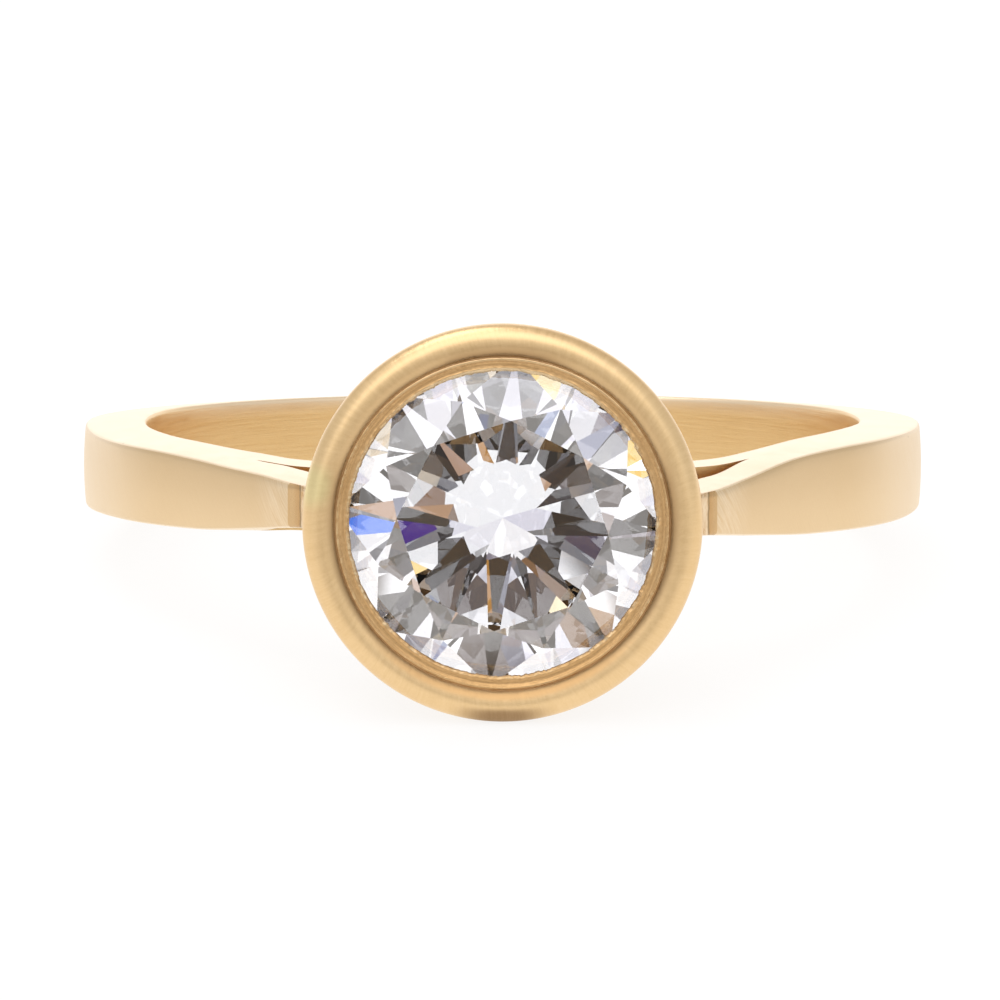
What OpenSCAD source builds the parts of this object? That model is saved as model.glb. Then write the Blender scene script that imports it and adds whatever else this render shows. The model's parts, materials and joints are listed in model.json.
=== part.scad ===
// Diamond solitaire ring with a bezel setting, lying on its side. Millimetres.
// The ring is drawn about its own centre, with the finger hole along Z and the setting towards -Y.
// It is then tipped back until it rests on the rim of the bezel and the lower back edge of the band.

/* [Band] */
// Diameter of the finger hole
finger_d = 16.5; // [15:0.1:19]
// Thickness of the band at its sides and back
band_t = 1.4; // [1.2:0.05:1.8]
// Widest half of the band, at its sides
band_half_w = 1.02; // [0.9:0.01:1.2]
// Fall of the side faces for each millimetre away from the middle of the taper
side_fall = 0.104; // [0.08:0.002:0.12]
// Half width that the side faces would have at the middle of the taper
taper_half_w = 2.08; // [2:0.01:2.2]
// How far the middle of the front taper lies behind the centre of the ring, and the back one before it
taper_shift = 4; // [3.5:0.1:4.5]

/* [Shoulders] */
// Thickness of the finger rail that runs on under the setting
rail_t = 0.75; // [0.6:0.05:0.9]
// Thickness of each shoulder bar
shoulder_t = 1.02; // [0.9:0.02:1.15]
// Sideways place where the outer face of a shoulder meets the solder
junction_x = 4.75; // [4.65:0.05:4.9]
// Depth of that place before the centre of the ring
junction_depth = 10; // [9.9:0.05:10.2]
// Depth at which the hollow solder fillet runs out on the wall of the bezel
solder_depth = 11.5; // [11.3:0.05:11.7]

/* [Bezel] */
// Outer diameter of the domed rim
bezel_d = 8.74; // [8.7:0.02:8.9]
// Radius of the rim's half round section
rim_r = 0.4; // [0.36:0.01:0.42]
// Depth of the middle of the rim section before the centre of the ring
rim_depth = 12.75; // [12.6:0.05:12.9]
// Outer radius of the cup where it is filed to fit the finger rail
cup_foot_r = 3.6; // [3.5:0.05:3.7]
// Radius of the open well behind the stone, at the foot
well_foot_r = 2.65; // [2.5:0.05:2.8]
// Radius of the opening that shows the stone
opening_r = 3.34; // [3.3:0.01:3.4]
// Radius of the turned groove between the rim and the lip
groove_r = 3.7; // [3.66:0.01:3.74]
// Depth of the groove
groove_t = 0.09; // [0.06:0.01:0.12]

/* [Stone] */
// Diameter of the stone at its girdle
stone_d = 7.1; // [7:0.05:7.2]
// Width of the table, corner to corner, as a part of the girdle diameter
table_part = 0.65; // [0.56:0.01:0.68]
// Slope of the crown's main facets
crown_angle = 33.5; // [32:0.5:35]
// Slope of the pavilion's main facets
pavilion_angle = 41; // [40:0.2:42]
// Distance from the axis at which the lower half facets end, as a part of the stone's radius
lower_part = 0.22; // [0.18:0.01:0.3]
// Girdle thickness at its thinnest places
girdle_t = 0.08; // [0.04:0.01:0.15]
// Depth of the middle of the girdle before the centre of the ring
girdle_depth = 12.53; // [12.5:0.01:12.56]
// Turn of the facets, seen from the front
facet_turn = -4.5; // [-10:0.5:10]
// Gap between the stone and its seat
seat_gap = 0.04; // [0.03:0.01:0.06]

/* [Hidden] */
$fn = 180;

bore_r = finger_d / 2;
band_r = bore_r + band_t;
rail_r = bore_r + rail_t;
back_half_w = taper_half_w - side_fall * (band_r + taper_shift);
// How far the taper's space reaches past the band, and a cutter past what it cuts
taper_margin = 0.2;
cut_margin = 1;
cut_h = bezel_d + 2 * cut_margin;

bezel_r = bezel_d / 2;
rim_mid_r = bezel_r - rim_r;
cup_foot_depth = bore_r;
// The wall leans out from the foot and meets the round of the rim a little inside the tangent
wall_inset = 0.003;
rim_reach = norm([rim_mid_r - cup_foot_r, rim_depth - cup_foot_depth]);
wall_lean = atan2(rim_mid_r - cup_foot_r, rim_depth - cup_foot_depth)
    + asin((rim_r - wall_inset) / rim_reach);
wall_length = rim_reach * cos(asin((rim_r - wall_inset) / rim_reach));
wall_top = [cup_foot_r + wall_length * sin(wall_lean), cup_foot_depth + wall_length * cos(wall_lean)];

// Outer line of a shoulder: it rises from just under the band's face and runs straight to the junction
rise_inset = 0.03;
rise_r = band_r - rise_inset;
junction_reach = norm([junction_x, junction_depth]);
junction_turn = atan2(junction_x, junction_depth);
rise_turn = junction_turn + acos(rise_r / junction_reach);
rise_point = [rise_r * sin(rise_turn), -rise_r * cos(rise_turn)];
junction_point = [junction_x, -junction_depth];
bar_way = (junction_point - rise_point) / norm(junction_point - rise_point);
bar_out = [-bar_way[1], bar_way[0]];
inner_start = rise_point - shoulder_t * bar_out;
inner_end = junction_point - shoulder_t * bar_out;
bar_slope = bar_way[1] / bar_way[0];
bar_end_x = 3.5;
bar_end = [bar_end_x, inner_end[1] + (bar_end_x - inner_end[0]) * bar_slope];
// The cleared window starts and ends this far along the bars, this far inside them
window_start = 1.4;
window_end = 2;
window_inset = 0.3;
// The hollow of the solder starts at the junction and ends along the wall, a little inside it
solder_inset = 0.04;
solder_end_x = cup_foot_r + (solder_depth - cup_foot_depth) * tan(wall_lean) - solder_inset;
solder_width = junction_x - solder_end_x;
solder_rise = solder_depth - junction_depth;
solder_r = (solder_width * solder_width + solder_rise * solder_rise) / (2 * solder_width);

// Stone heights, from the middle of the girdle
stone_r = stone_d / 2;
facet_count = 8;
half_step = 360 / facet_count / 2;
corner_r = stone_r / cos(half_step / 2);
table_r = stone_r * table_part;
table_side_r = table_r * cos(half_step);
star_r = (table_side_r + stone_r) / 2;
lower_r = stone_r * lower_part;
crown_z = girdle_t / 2;
table_z = crown_z + (corner_r - table_r) * tan(crown_angle);
star_z = crown_z + (corner_r - star_r * cos(half_step)) * tan(crown_angle);
lower_z = -crown_z - (corner_r - lower_r * cos(half_step)) * tan(pavilion_angle);
culet_z = -crown_z - corner_r * tan(pavilion_angle);

// Cup section: places are [radius from the axis of the setting, depth before the centre of the ring]
seat_r = stone_r + seat_gap;
// Room over and under the girdle, which leaves the upper half facets the same gap under the lip
girdle_room = 0.12;
seat_top = girdle_depth + crown_z + girdle_room;
seat_low = girdle_depth - crown_z - girdle_room;
// Inner edge of the ledge that carries the stone
ledge_r = 3.05;
ledge_depth = seat_low - (seat_r - ledge_r) * tan(pavilion_angle);
// The lip: its thickness at the opening, the break of its inner edge and the round of its outer one
lip_low = seat_top + (seat_r - opening_r) * tan(crown_angle);
lip_t = 0.12;
lip_break = 0.05;
lip_round = 0.05;
lip_flat = 0.12;
rim_inner_depth = rim_depth + sqrt(rim_r * rim_r - pow(groove_r - rim_mid_r, 2));
groove_depth = rim_inner_depth - groove_t;
lip_top = groove_depth + 0.07;
// The cup's foot reaches this far into the finger rail
foot_lap = 0.05;

// Resting place: tip and lift that put the rim's round and the lower back edge of the band on the ground
rest_reach = norm([rim_mid_r - back_half_w, rim_depth + band_r]);
rest_tip = atan2(rim_mid_r - back_half_w, rim_depth + band_r) + asin(rim_r / rest_reach);
rest_lift = band_r * sin(rest_tip) + back_half_w * cos(rest_tip);
front_y = -(rim_depth * cos(rest_tip) + rim_mid_r * sin(rest_tip) + rim_r);
back_y = band_r * cos(rest_tip) + back_half_w * sin(rest_tip);

// Puts the ring down on the ground, with the middle of its outline at the origin
module at_rest() {
    translate([0, -(front_y + back_y) / 2, rest_lift])
        rotate([-rest_tip, 0, 0])
            children();
}

// Turns a shape drawn along Z so that it faces the front
module facing_front() {
    rotate([90, 0, 0])
        children();
}

// The metal that lies inside both tapers, which narrow the band to the front and to the back
module taper_space() {
    space_h = band_half_w + taper_margin;
    foot_r = taper_half_w / side_fall;
    top_r = (taper_half_w - space_h) / side_fall;
    intersection_for (way = [-1, 1])
        translate([0, way * taper_shift, 0])
            for (side = [0, 1])
                mirror([0, 0, side])
                    cylinder(h = space_h, r1 = foot_r, r2 = top_r);
}

// One shoulder bar in plan, with its hollow solder fillet
module shoulder_plan() {
    difference() {
        polygon([
            inner_start,
            rise_point,
            junction_point,
            [junction_x, -solder_depth],
            [bar_end_x, -solder_depth],
            bar_end
        ]);
        translate([solder_end_x + solder_r, -solder_depth])
            circle(r = solder_r);
    }
}

// Room between the two shoulders, cleared before the rail is put back. Its sides run inside the bars.
module window_plan() {
    room_start = inner_start + window_start * bar_way + window_inset * bar_out;
    room_end = inner_end + window_end * bar_way + window_inset * bar_out;
    polygon([
        room_start,
        room_end,
        [-room_end[0], room_end[1]],
        [-room_start[0], room_start[1]]
    ]);
}

// Band, rail and shoulders in plan, before the finger hole is cut
module band_plan() {
    difference() {
        circle(r = band_r);
        window_plan();
    }
    circle(r = rail_r);
    for (side = [0, 1])
        mirror([side, 0, 0])
            shoulder_plan();
}

// Half section of the cup: wall, seat and well, with the domed rim, the groove and the lip
module cup_section() {
    difference() {
        union() {
            polygon([
                [well_foot_r, cup_foot_depth],
                [cup_foot_r, cup_foot_depth],
                wall_top,
                [rim_mid_r, rim_depth],
                [groove_r, groove_depth],
                [groove_r - lip_round, lip_top - lip_round / 5],
                [groove_r - lip_flat, lip_top],
                [opening_r + lip_break, lip_low + lip_t],
                [opening_r, lip_low + lip_t - lip_break],
                [opening_r, lip_low],
                [seat_r, seat_top],
                [seat_r, seat_low],
                [ledge_r, ledge_depth]
            ]);
            difference() {
                translate([rim_mid_r, rim_depth])
                    circle(r = rim_r);
                translate([0, rim_depth - 2 * rim_r])
                    square([groove_r, 4 * rim_r]);
            }
        }
        translate([groove_r, groove_depth + groove_t])
            rotate([0, 0, 45])
                square(groove_t, center = true);
    }
}

// The round cup, filed hollow at its foot to sit on the finger rail
module bezel() {
    difference() {
        facing_front()
            rotate_extrude()
                cup_section();
        cylinder(h = cut_h, r = rail_r - foot_lap, center = true);
    }
}

// Band, rail and both shoulders, tapered
module band() {
    intersection() {
        linear_extrude(height = 2 * band_half_w, center = true)
            band_plan();
        taper_space();
    }
}

// The soldered metal: band, shoulders and bezel in one piece, with the finger hole
module ring_mount() {
    color([0.86, 0.73, 0.53])
        at_rest()
            difference() {
                union() {
                    band();
                    bezel();
                }
                cylinder(h = cut_h, r = bore_r, center = true);
            }
}

// Point on the stone at a number of half steps round
function around(steps, radius, height) =
    [radius * cos(steps * half_step), radius * sin(steps * half_step), height];

// Facets of a round brilliant, with room outside for the girdle to be turned round
module brilliant_facets() {
    table = [for (k = [0 : facet_count - 1]) around(2 * k, table_r, table_z)];
    stars = [for (k = [0 : facet_count - 1]) around(2 * k + 1, star_r, star_z)];
    upper = [for (k = [0 : 2 * facet_count - 1]) around(k, corner_r, crown_z)];
    lower = [for (k = [0 : 2 * facet_count - 1]) around(k, corner_r, -crown_z)];
    halves = [for (k = [0 : facet_count - 1]) around(2 * k + 1, lower_r, lower_z)];
    culet = [[0, 0, culet_z]];

    star_at = facet_count;
    upper_at = 2 * facet_count;
    lower_at = 4 * facet_count;
    half_at = 6 * facet_count;
    culet_at = 7 * facet_count;
    function next(k) = (k + 1) % facet_count;
    function last(k) = (k + facet_count - 1) % facet_count;
    function girdle_next(k) = (k + 1) % (2 * facet_count);

    faces = concat(
        [[for (k = [facet_count - 1 : -1 : 0]) k]],
        [for (k = [0 : facet_count - 1]) [k, next(k), star_at + k]],
        [for (k = [0 : facet_count - 1]) [k, star_at + k, upper_at + 2 * k, star_at + last(k)]],
        [for (k = [0 : facet_count - 1]) [star_at + k, upper_at + 2 * k + 1, upper_at + 2 * k]],
        [for (k = [0 : facet_count - 1]) [star_at + k, upper_at + 2 * next(k), upper_at + 2 * k + 1]],
        [for (k = [0 : 2 * facet_count - 1])
            [upper_at + k, upper_at + girdle_next(k), lower_at + girdle_next(k), lower_at + k]],
        [for (k = [0 : facet_count - 1]) [half_at + k, lower_at + 2 * k, lower_at + 2 * k + 1]],
        [for (k = [0 : facet_count - 1]) [half_at + k, lower_at + 2 * k + 1, lower_at + 2 * next(k)]],
        [for (k = [0 : facet_count - 1]) [culet_at, half_at + last(k), lower_at + 2 * k, half_at + k]]
    );
    polyhedron(points = concat(table, stars, upper, lower, halves, culet), faces = faces);
}

// The stone: facets cut on a turned round
module diamond() {
    color([0.92, 0.94, 0.97])
        at_rest()
            facing_front()
                translate([0, 0, girdle_depth])
                    rotate([0, 0, facet_turn])
                        intersection() {
                            brilliant_facets();
                            translate([0, 0, culet_z - cut_margin])
                                cylinder(h = table_z - culet_z + 2 * cut_margin, r = stone_r);
                        }
}

ring_mount();
diamond();
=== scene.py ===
"""Diamond solitaire ring in a round bezel: its looks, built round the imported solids.

New pieces are modelled in the ring's own frame, in millimetres. The finger hole runs along Z and
the setting faces -Y. A finished piece is then laid down in the row frame, in metres, where the
ring rests on its side.
"""
import json
import logging
import math
from dataclasses import dataclass
from enum import Enum
from functools import partial, reduce
from typing import Callable, Iterable

import bmesh
import bpy
from mathutils import Matrix, Vector, noise


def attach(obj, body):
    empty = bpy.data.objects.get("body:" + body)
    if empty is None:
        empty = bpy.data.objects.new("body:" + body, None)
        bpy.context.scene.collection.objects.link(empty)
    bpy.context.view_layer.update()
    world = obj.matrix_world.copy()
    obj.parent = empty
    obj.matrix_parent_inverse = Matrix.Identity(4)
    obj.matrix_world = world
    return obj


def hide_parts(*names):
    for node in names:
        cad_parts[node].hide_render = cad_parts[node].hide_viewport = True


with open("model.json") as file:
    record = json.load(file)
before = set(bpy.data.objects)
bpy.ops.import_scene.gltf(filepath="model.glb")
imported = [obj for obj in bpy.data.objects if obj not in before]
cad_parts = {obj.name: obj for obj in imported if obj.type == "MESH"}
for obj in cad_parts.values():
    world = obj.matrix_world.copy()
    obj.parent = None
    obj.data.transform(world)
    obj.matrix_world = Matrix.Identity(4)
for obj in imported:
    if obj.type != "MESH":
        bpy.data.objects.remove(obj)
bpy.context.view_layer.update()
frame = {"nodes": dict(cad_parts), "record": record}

logging.basicConfig(level=logging.INFO, format="%(message)s")
log = logging.getLogger("ring")

MM = 0.001
PHOTO_PIXELS = 1000

Span = tuple[float, float]
Tone = tuple[float, float, float]
Piece = bpy.types.Object
Socket = bpy.types.NodeSocket
Sockets = bpy.types.bpy_prop_collection


class Join(Enum):
    """How one solid is worked into another."""

    ADD = "UNION"
    CUT = "DIFFERENCE"


class Part(Enum):
    """Kinds of mesh element that can be picked."""

    EDGES = "EDGE"
    FACES = "FACE"


class Zone(Enum):
    """Places of the soldered gold that are finished in different ways."""

    FACE = 0
    SIDE = 1
    BORE = 2
    DOME = 3
    LIP = 4
    CUP = 5
    SOLDER = 6
    WELL = 7


class Bench:
    """Edit-mode tools that act on one piece at a time."""

    @staticmethod
    def clear() -> None:
        """Leaves edit mode and deselects every object."""
        active = bpy.context.view_layer.objects.active
        if active is not None and active.mode != "OBJECT":
            bpy.ops.object.mode_set(mode="OBJECT")
        bpy.ops.object.select_all(action="DESELECT")

    @staticmethod
    def hold(piece: Piece) -> None:
        """Selects one piece alone and makes it the active one."""
        Bench.clear()
        piece.select_set(True)
        bpy.context.view_layer.objects.active = piece

    @staticmethod
    def open(piece: Piece, part: Part = Part.FACES) -> None:
        """Opens a piece in edit mode with nothing selected in it."""
        Bench.hold(piece)
        bpy.ops.object.mode_set(mode="EDIT")
        bpy.ops.mesh.select_mode(type=part.value)
        bpy.ops.mesh.select_all(action="DESELECT")

    @staticmethod
    def pick(piece: Piece, part: Part, test: Callable[..., bool]) -> None:
        """Selects the elements of an open piece that pass a test.

        Args:
            piece: Piece in edit mode.
            part: Kind of element to pick.
            test: Says of a bmesh element whether it is wanted.
        """
        bpy.ops.mesh.select_mode(type=part.value)
        bpy.ops.mesh.select_all(action="DESELECT")
        mesh = bmesh.from_edit_mesh(piece.data)
        for element in mesh.edges if part is Part.EDGES else mesh.faces:
            if test(element):
                element.select_set(True)
        mesh.select_flush_mode()
        bmesh.update_edit_mesh(piece.data)

    @staticmethod
    def place_points(piece: Piece, rule: Callable[[Vector], Vector]) -> None:
        """Puts every vertex of a closed piece where a rule says."""
        for vertex in piece.data.vertices:
            vertex.co = rule(vertex.co.copy())
        piece.data.update()

    @staticmethod
    def face_outwards(piece: Piece, merge: float = 1e-5) -> None:
        """Merges doubles and turns the faces of a piece outwards.

        Args:
            piece: Piece in object mode.
            merge: Distance under which vertices are merged, in the piece's units.
        """
        Bench.open(piece)
        bpy.ops.mesh.select_all(action="SELECT")
        bpy.ops.mesh.remove_doubles(threshold=merge)
        bpy.ops.mesh.normals_make_consistent(inside=False)
        Bench.clear()

    @staticmethod
    def work_in(piece: Piece, tool: Piece, way: Join) -> None:
        """Adds a tool to a piece, or cuts it out, and removes the tool."""
        modifier = piece.modifiers.new("work in", "BOOLEAN")
        modifier.operation = way.value
        modifier.solver = "EXACT"
        modifier.object = tool
        Bench.hold(piece)
        bpy.ops.object.modifier_apply(modifier=modifier.name)
        bpy.data.objects.remove(tool)


def smooth_least(values: Iterable[float], blend: float) -> float:
    """Least of some values, with the corners between them rounded.

    Args:
        values: Values to compare.
        blend: Size of the rounding, in the same units.

    Returns:
        A value a little under the least one.
    """
    listed = list(values)
    least = min(listed)
    return least - blend * math.log(sum(math.exp((least - value) / blend) for value in listed))


def eased(share: float) -> float:
    """Share from 0 to 1, clamped, with a soft start and end."""
    share = min(1.0, max(0.0, share))
    return share * share * (3 - 2 * share)


def ramp(value: float, low: float, high: float) -> float:
    """Rises softly from 0 at low to 1 at high."""
    return eased((value - low) / (high - low))


def arc(centre: Span, radius: float, start: float, end: float, steps: int) -> list[Span]:
    """Points along a round in a section.

    Args:
        centre: Centre of the round.
        radius: Radius of the round.
        start: First angle in degrees, from the first axis.
        end: Last angle in degrees.
        steps: Number of steps between them.

    Returns:
        Pairs of coordinates.
    """
    angles = [math.radians(start + (end - start) * step / steps) for step in range(steps + 1)]
    return [(centre[0] + radius * math.cos(a), centre[1] + radius * math.sin(a)) for a in angles]


@dataclass(frozen=True)
class Resting:
    """Where the ring lies in the row frame, as its finger hole says."""

    hole: dict

    def tip(self) -> float:
        """Angle in radians that the ring is tipped by, about X."""
        axis = Vector(self.hole["axis"])
        return math.atan2(axis.y, axis.z)

    def matrix(self) -> Matrix:
        """Matrix from the ring's own frame, in millimetres, to the row frame."""
        turn = Matrix.Rotation(-self.tip(), 4, "X")
        return Matrix.Translation(self.hole["pos_m"]) @ turn @ Matrix.Scale(MM, 4)

    def lay_down(self, piece: Piece) -> None:
        """Puts a finished piece's mesh in the row frame."""
        piece.data.transform(self.matrix())
        piece.data.update()


@dataclass
class Band:
    """Hoop, finger rail and both shoulders, tapered to the front and back."""

    bore_r: float = 8.25
    rail_r: float = 9.0
    band_r: float = 9.65
    rise_r: float = 9.62
    side_half_w: float = 1.02
    taper_half_w: float = 2.08
    side_fall: float = 0.104
    taper_shift: float = 4.0
    taper_blend: float = 0.02
    shoulder_t: float = 1.02
    junction_x: float = 4.75
    junction_depth: float = 10.0
    solder_end_x: float = 4.118
    solder_depth: float = 11.5
    bar_end_x: float = 3.5
    bar_bend: float = 0.35
    crown: float = 0.05
    lean: float = 0.085
    lean_x: Span = (4.7, 6.9)
    lean_rows: int = 8
    fullness: float = 0.11
    fullness_x: Span = (5.0, 7.0)
    waist: float = 0.05
    waist_x: Span = (4.6, 5.5)
    shoulder_depth: Span = (0.0, 6.0)
    uneven: float = 0.055
    uneven_x: Span = (4.9, 6.7)
    uneven_depth: Span = (-1.0, 4.0)
    layers: int = 8
    edge_round: float = 0.11
    edge_steps: int = 4
    back_row: int = 180
    rise_row: int = 55
    tip_row: int = 38
    junction_row: int = 22
    end_row: int = 10

    def __post_init__(self) -> None:
        """Works out the straight line of a shoulder."""
        reach = math.hypot(self.junction_x, self.junction_depth)
        self.rise_turn = math.atan2(self.junction_x, self.junction_depth)
        self.rise_turn += math.acos(self.rise_r / reach)
        self.rise_point = self.polar(self.rise_r, self.rise_turn)
        junction = Vector((self.junction_x, -self.junction_depth))
        self.bar_length = (junction - self.rise_point).length
        self.bar_way = (junction - self.rise_point).normalized()
        self.bar_out = Vector((-self.bar_way.y, self.bar_way.x))
        self.inner_r = self.rise_r - self.shoulder_t
        self.tip_length = math.sqrt(self.rail_r**2 - self.inner_r**2)

    @staticmethod
    def polar(radius: float, turn: float) -> Vector:
        """Plan place at a radius and a turn from the front, in radians."""
        return Vector((radius * math.sin(turn), -radius * math.cos(turn)))

    def half_width(self, x: float, y: float) -> float:
        """Half width of the band over a place in plan.

        Hand filing leaves the shoulders a little fuller than the plain taper, narrower by the
        cup, and the right one wider than the left.
        """
        tapers = [
            self.taper_half_w - self.side_fall * math.hypot(x, y + shift)
            for shift in (self.taper_shift, -self.taper_shift)
        ]
        plain = smooth_least([self.side_half_w, *tapers], self.taper_blend)
        off = abs(x)
        shoulder = ramp(-y, *self.shoulder_depth)
        full = self.fullness * ramp(off, *self.fullness_x) * shoulder
        waist = self.waist * (1 - ramp(off, *self.waist_x)) * shoulder
        side = ramp(off, *self.uneven_x) * ramp(-y, *self.uneven_depth)
        return plain + full - waist + math.copysign(self.uneven, x) * side

    def ring_places(self, row: int) -> list[Vector]:
        """Plan places of the four rings of vertices at one row, on the right.

        Args:
            row: Row from 0 at the front to the one at the back.

        Returns:
            Places on the bore, the rail, the inner and the outer line of the shoulder.
        """
        if row >= self.rise_row:
            share = (row - self.rise_row) / (self.back_row - self.rise_row)
            turn = self.rise_turn + share * (math.pi - self.rise_turn)
            step = (self.band_r - self.bore_r) / 3
            outer = self.band_r - (self.band_r - self.rise_r) * (1 - eased(share * 12))
            reaches = (self.bore_r, self.bore_r + step, outer - step, outer)
            return [self.polar(reach, turn) for reach in reaches]
        if row >= self.tip_row:
            share = (self.rise_row - row) / (self.rise_row - self.tip_row)
            along = share * self.tip_length
            turn = self.rise_turn - math.atan2(along, self.inner_r)
            step = (self.band_r - self.bore_r) / 3
            low = (self.bore_r + step) * (1 - share) + self.rail_r * share
            high = (self.rise_r - step) * (1 - share) + self.rail_r * share
            inside = [self.polar(r, turn) for r in (self.bore_r, low, high)]
            return [*inside, self.rise_point + along * self.bar_way]
        if row >= self.junction_row:
            share = (self.tip_row - row) / (self.tip_row - self.junction_row)
            along = self.tip_length + share * (self.bar_length - self.tip_length)
            turn = self.rise_turn - math.atan2(along, self.inner_r)
            outer = self.rise_point + along * self.bar_way
            inner = outer - self.shoulder_t * self.bar_out
            return [self.polar(self.bore_r, turn), self.polar(self.rail_r, turn), inner, outer]
        last = self.rise_turn - math.atan2(self.bar_length, self.inner_r)
        turn = last * row / self.junction_row
        share = min(1.0, (self.junction_row - row) / (self.junction_row - self.end_row))
        rail = [self.polar(self.bore_r, turn), self.polar(self.rail_r, turn)]
        return [*rail, self.bar_inside(share), self.solder_hollow(share)]

    def solder_hollow(self, share: float) -> Vector:
        """Place on the hollow round of the solder, from the junction to the cup."""
        width = self.junction_x - self.solder_end_x
        rise = self.solder_depth - self.junction_depth
        radius = (width**2 + rise**2) / (2 * width)
        angle = math.asin(rise / radius) * (1 - share)
        centre_x = self.solder_end_x + radius
        depth = self.solder_depth - radius * math.sin(angle)
        return Vector((centre_x - radius * math.cos(angle), -depth))

    def bar_inside(self, share: float) -> Vector:
        """Place on the shoulder's inner line, where it ends inside the wall of the cup."""
        start = self.rise_point + self.bar_length * self.bar_way - self.shoulder_t * self.bar_out
        corner = start + self.bar_way * (start.x - self.bar_end_x) / -self.bar_way.x
        end = Vector((self.bar_end_x, -self.solder_depth))
        if share < self.bar_bend:
            return start.lerp(corner, share / self.bar_bend)
        return corner.lerp(end, (share - self.bar_bend) / (1 - self.bar_bend))

    def build(self) -> Piece:
        """Models the band from a circle of vertices.

        Returns:
            The band as one closed piece in the ring's own frame.
        """
        Bench.clear()
        bpy.ops.mesh.primitive_circle_add(vertices=2 * self.back_row, radius=self.bore_r)
        band = bpy.context.object
        band.name = "band"
        Bench.open(band, Part.EDGES)
        bpy.ops.mesh.select_all(action="SELECT")
        radii = [self.bore_r + (self.band_r - self.bore_r) * ring / 3 for ring in range(4)]
        for inner, outer in zip(radii, radii[1:]):
            bpy.ops.mesh.extrude_edges_move()
            grow = outer / inner
            bpy.ops.transform.resize(value=(grow, grow, 1), center_override=(0, 0, 0))
        self.open_windows(band, radii)
        bpy.ops.mesh.select_all(action="SELECT")
        for _ in range(self.layers):
            bpy.ops.mesh.extrude_region_move(TRANSFORM_OT_translate={"value": (0, 0, 1)})
        Bench.clear()
        Bench.place_points(band, lambda place: self.shaped(place, radii))
        Bench.face_outwards(band)
        self.round_edges(band)
        return band

    def open_windows(self, band: Piece, radii: list[float]) -> None:
        """Deletes the faces in the windows and in front of the shoulders' ends."""
        window = (radii[1] + radii[2]) / 2
        shoulder = (radii[2] + radii[3]) / 2
        margin = (radii[1] - radii[0]) / 4

        def is_open(face: bmesh.types.BMFace) -> bool:
            centre = face.calc_center_median()
            radius = centre.xy.length
            turn = math.degrees(math.atan2(abs(centre.x), -centre.y))
            in_window = abs(radius - window) < margin and turn < self.tip_row
            before_end = abs(radius - shoulder) < margin and turn < self.end_row
            return in_window or before_end

        Bench.pick(band, Part.FACES, is_open)
        bpy.ops.mesh.delete(type="FACE")

    def shaped(self, place: Vector, radii: list[float]) -> Vector:
        """Final place of a vertex of the plain flat ring.

        The outer layers are the thickest, so that the rounding of the edges fits in them. The
        inner line of a shoulder doesn't lean at the window's tip, where it meets the rail.

        Args:
            place: Place on the flat ring.
            radii: Radii of the flat ring's four rings of vertices.

        Returns:
            Place on the band.
        """
        row = round(math.degrees(math.atan2(abs(place.x), -place.y)))
        ring = min(range(4), key=lambda index: abs(radii[index] - place.xy.length))
        plan = self.ring_places(row)[ring]
        level = 2 * place.z / self.layers - 1
        level *= math.sqrt(abs(level))
        out = self.crown * (1 - level**2) if ring == 3 and row > self.junction_row else 0.0
        way = self.bar_out if row < self.rise_row else plan.normalized()
        plan = plan + out * way
        x = math.copysign(plan.x, place.x)
        leant = 0.0
        if ring > 1 and row < self.rise_row:
            leant = (1 - ramp(abs(x), *self.lean_x)) * (eased(0.5 - x / 4) * 2 - 1)
        if ring == 2:
            leant *= eased(abs(row - self.tip_row) / self.lean_rows)
        return Vector((x, plan.y, level * self.half_width(x, plan.y) + self.lean * leant))

    def round_edges(self, band: Piece) -> None:
        """Rounds the long edges of the band; those round the windows stay crisp."""
        sharp = math.radians(60)
        tip_x = self.ring_places(self.tip_row)[1].x + 0.1

        def is_worn(edge: bmesh.types.BMEdge) -> bool:
            middle = (edge.verts[0].co + edge.verts[1].co) / 2
            plan = Vector((abs(middle.x), middle.y))
            behind = (plan - self.rise_point).dot(self.bar_out) < -self.shoulder_t / 2
            before_tip = plan.y < 0 and plan.x < tip_x
            by_window = behind and before_tip and plan.length > self.rail_r - 0.1
            return not by_window and edge.is_manifold and edge.calc_face_angle() > sharp

        Bench.open(band, Part.EDGES)
        Bench.pick(band, Part.EDGES, is_worn)
        bpy.ops.mesh.bevel(offset=self.edge_round, segments=self.edge_steps, affect="EDGES")
        Bench.clear()


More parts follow.
